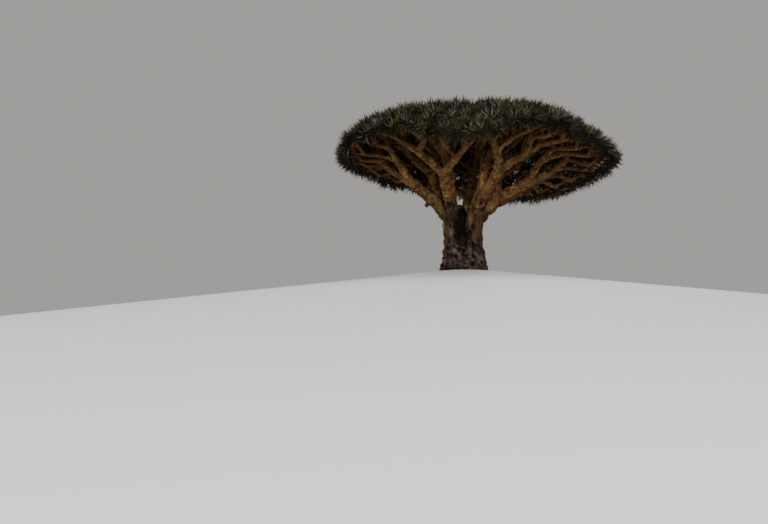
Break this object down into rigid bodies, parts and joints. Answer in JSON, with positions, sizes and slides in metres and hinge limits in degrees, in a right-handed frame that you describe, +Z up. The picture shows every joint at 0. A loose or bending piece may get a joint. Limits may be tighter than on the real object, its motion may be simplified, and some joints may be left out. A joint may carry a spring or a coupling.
{
  "type": "dragon blood tree",
  "caption": "Umbrella-shaped evergreen tree: stout hollowed trunk, boughs that fork again and again, and a broad flat crown of stiff leaf rosettes.",
  "frame": {"origin": "on the level ground under the middle of the trunk, in the flat cut under it", "axes": "+Z up; seen from the front +X is to the right and +Y leads away"},
  "size_m": [8.9852, 8.3745, 5.2834],
  "materials": {
    "trunk_bark": "rough grey-brown bark with scars and pits, darker in the hollow and paler at the foot",
    "limb_bark": "dry golden-brown bark, ringed by leaf scars and knobbly at the forks",
    "foliage": "stiff leathery sword leaves, dull grey-green, with some dry brown ones below"
  },
  "bodies": {
    "root": {"trunk": "trunk_bark", "bough_1_1": "limb_bark", "bough_1_2": "limb_bark", "bough_1_3": "limb_bark", "bough_1_4": "limb_bark", "bough_2_1": "limb_bark", "bough_2_2": "limb_bark", "bough_2_3": "limb_bark", "bough_2_4": "limb_bark", "bough_3_1": "limb_bark", "bough_3_2": "limb_bark", "bough_3_3": "limb_bark", "bough_3_4": "limb_bark", "bough_4_1": "limb_bark", "bough_4_2": "limb_bark", "bough_4_3": "limb_bark", "bough_4_4": "limb_bark", "bough_5_1": "limb_bark", "bough_5_2": "limb_bark", "bough_5_3": "limb_bark", "bough_5_4": "limb_bark", "bough_6_1": "limb_bark", "bough_6_2": "limb_bark", "bough_6_3": "limb_bark", "bough_6_4": "limb_bark", "bough_7_1": "limb_bark", "bough_7_2": "limb_bark", "bough_7_3": "limb_bark", "bough_7_4": "limb_bark", "crown_mass_1_1": "foliage", "crown_mass_1_2": "foliage", "crown_mass_1_3": "foliage", "crown_mass_1_4": "foliage", "crown_mass_2_1": "foliage", "crown_mass_2_2": "foliage", "crown_mass_2_3": "foliage", "crown_mass_2_4": "foliage", "crown_mass_3_1": "foliage", "crown_mass_3_2": "foliage", "crown_mass_3_3": "foliage", "crown_mass_3_4": "foliage", "crown_mass_4_1": "foliage", "crown_mass_4_2": "foliage", "crown_mass_4_3": "foliage", "crown_mass_4_4": "foliage", "crown_mass_5_1": "foliage", "crown_mass_5_2": "foliage", "crown_mass_5_3": "foliage", "crown_mass_5_4": "foliage", "crown_mass_6_1": "foliage", "crown_mass_6_2": "foliage", "crown_mass_6_3": "foliage", "crown_mass_6_4": "foliage", "crown_mass_7_1": "foliage", "crown_mass_7_2": "foliage", "crown_mass_7_3": "foliage", "crown_mass_7_4": "foliage"}
  },
  "joints": []
}
